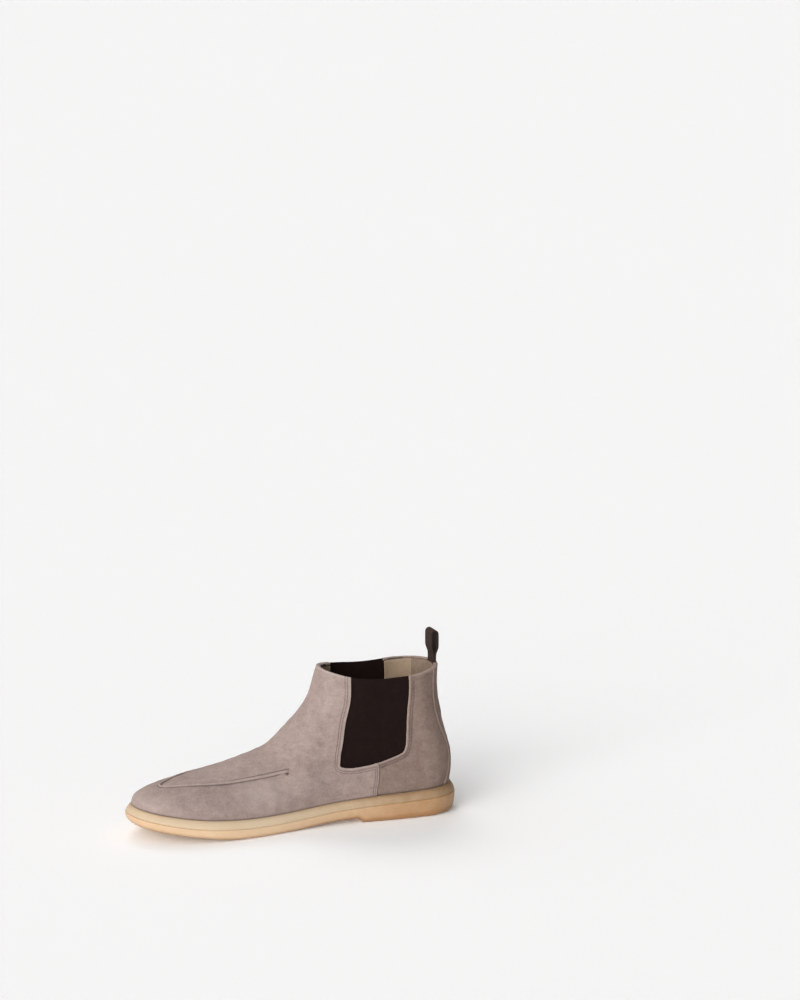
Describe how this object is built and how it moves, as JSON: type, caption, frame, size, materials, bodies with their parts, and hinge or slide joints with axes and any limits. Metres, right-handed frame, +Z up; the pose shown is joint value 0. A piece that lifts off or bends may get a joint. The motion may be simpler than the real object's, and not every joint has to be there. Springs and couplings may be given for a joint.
{
  "type": "chelsea boot",
  "caption": "Low suede chelsea boot for the right foot, with elastic side gores, a raised apron ridge, a heel strap, a pull tab and a two-band rubber sole.",
  "frame": {"origin": "on the ground, under the middle of the boot's bounding box", "axes": "+Z up, the toe points to -Y and the heel to +Y, and the inner (medial) side is +X"},
  "size_m": [0.1044, 0.3002, 0.1599],
  "materials": {
    "outsole_rubber": "smooth matte crepe-coloured rubber",
    "midsole_rubber": "smooth matte rubber, paler than the outsole",
    "suede": "brushed suede",
    "elastic": "ribbed elastic webbing",
    "lining_leather": "smooth lining leather",
    "heel_grip_suede": "napped lining leather",
    "stiffener": "impregnated non-woven",
    "insole_board": "fibre board",
    "foam": "open-cell foam with a fabric face",
    "cork_filler": "cork",
    "shank_steel": "bare spring steel",
    "tape": "woven tape",
    "webbing": "grosgrain webbing",
    "thread": "matt polyester thread"
  },
  "bodies": {
    "boot": {"outsole": "outsole_rubber", "midsole": "midsole_rubber", "bottom_filler": "cork_filler", "shank": "shank_steel", "insole_board": "insole_board", "footbed_foam": "foam", "sock_liner": "lining_leather", "vamp": "suede", "quarter_medial": "suede", "quarter_lateral": "suede", "backstay": "suede", "gore_medial": "elastic", "gore_lateral": "elastic", "toe_puff": "stiffener", "heel_counter": "stiffener", "vamp_lining": "lining_leather", "quarter_lining_medial": "lining_leather", "quarter_lining_lateral": "lining_leather", "heel_grip": "heel_grip_suede", "front_collar_tape": "tape", "collar_tape_medial": "tape", "collar_tape_lateral": "tape", "apron_ridge": "suede", "apron_stitching": "thread", "gore_stitching_medial": "thread", "gore_stitching_lateral": "thread", "side_seam_stitching": "thread", "backstay_stitching": "thread", "collar_stitching": "thread", "pull_tab_tail": "webbing"},
    "pull_tab": {"pull_tab": "webbing"}
  },
  "joints": [
    {"name": "pull_tab_hinge", "type": "hinge", "parent": "boot", "child": "pull_tab", "pos_m": [0.00274, 0.13095, 0.13267], "axis": [1, 0, 0], "range_deg": [-75, 60], "stiffness_Nm_per_rad": 0.004}
  ]
}
